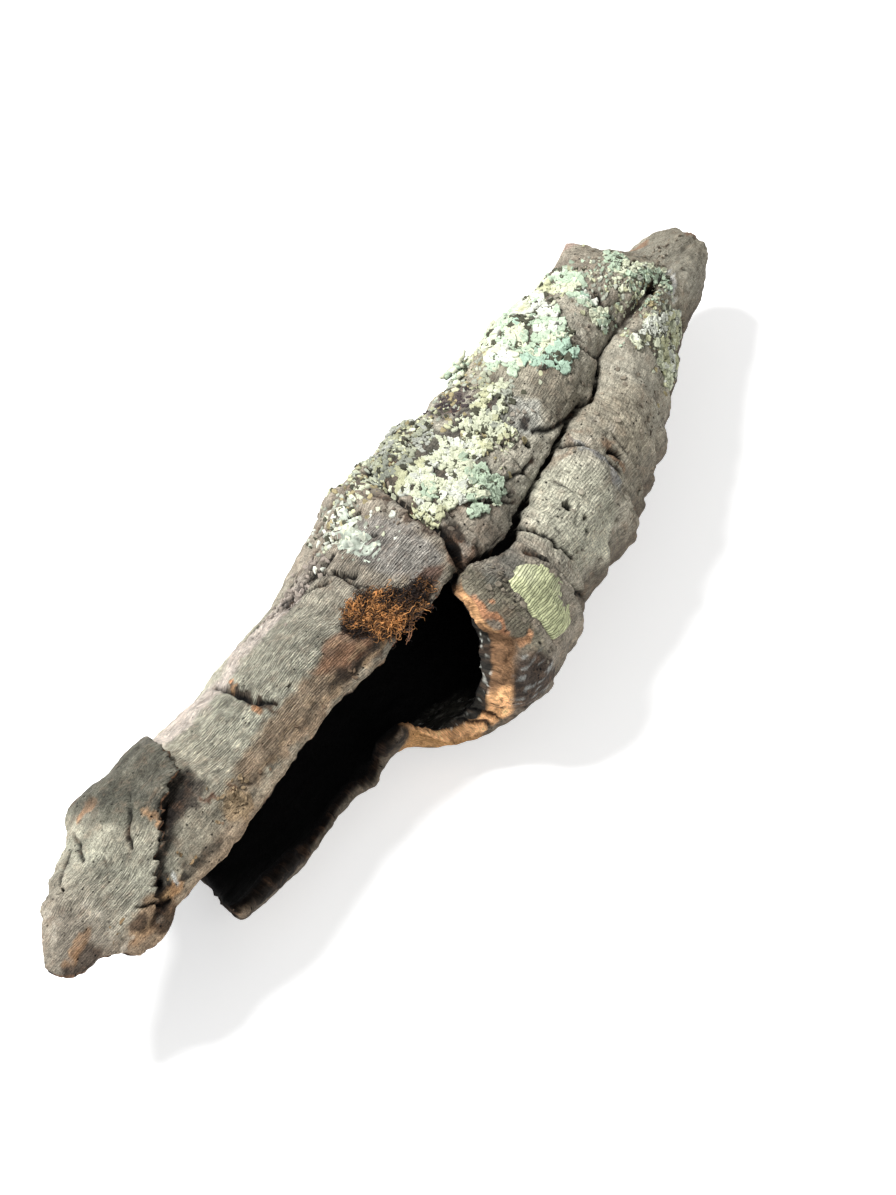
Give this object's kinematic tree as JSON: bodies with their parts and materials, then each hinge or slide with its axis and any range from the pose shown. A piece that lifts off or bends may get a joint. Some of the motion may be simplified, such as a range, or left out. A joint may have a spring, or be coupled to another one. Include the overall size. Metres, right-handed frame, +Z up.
{
  "type": "piece of bark",
  "caption": "Long curled sheet of tree bark, hollow and open along one side, tapering to a tongue and a blunt knob, with lichen crusts and a rusty fibrous tuft.",
  "frame": {"origin": "a point in the flat spot under the belly that the bark rests on, near the middle of its length", "axes": "+X along the length from the flat tongue to the blunt knob, +Y to the closed back side, away from the wide mouth, +Z up"},
  "size_m": [0.31, 0.0803, 0.061],
  "materials": {
    "bark": "weathered grey bark, rough",
    "lichen": "matt pale green crust",
    "green_crust": "matt yellow-green crust",
    "tuft": "matt rust-orange fibres"
  },
  "bodies": {
    "root": {"bark": "bark", "lichen_main": "lichen", "lichen_crest": "lichen", "lichen_mint": "lichen", "lichen_tip": "lichen", "lichen_neck": "lichen", "lichen_right": "lichen", "lichen_pale": "lichen", "lichen_green": "green_crust", "rust_tuft": "tuft"}
  },
  "joints": []
}
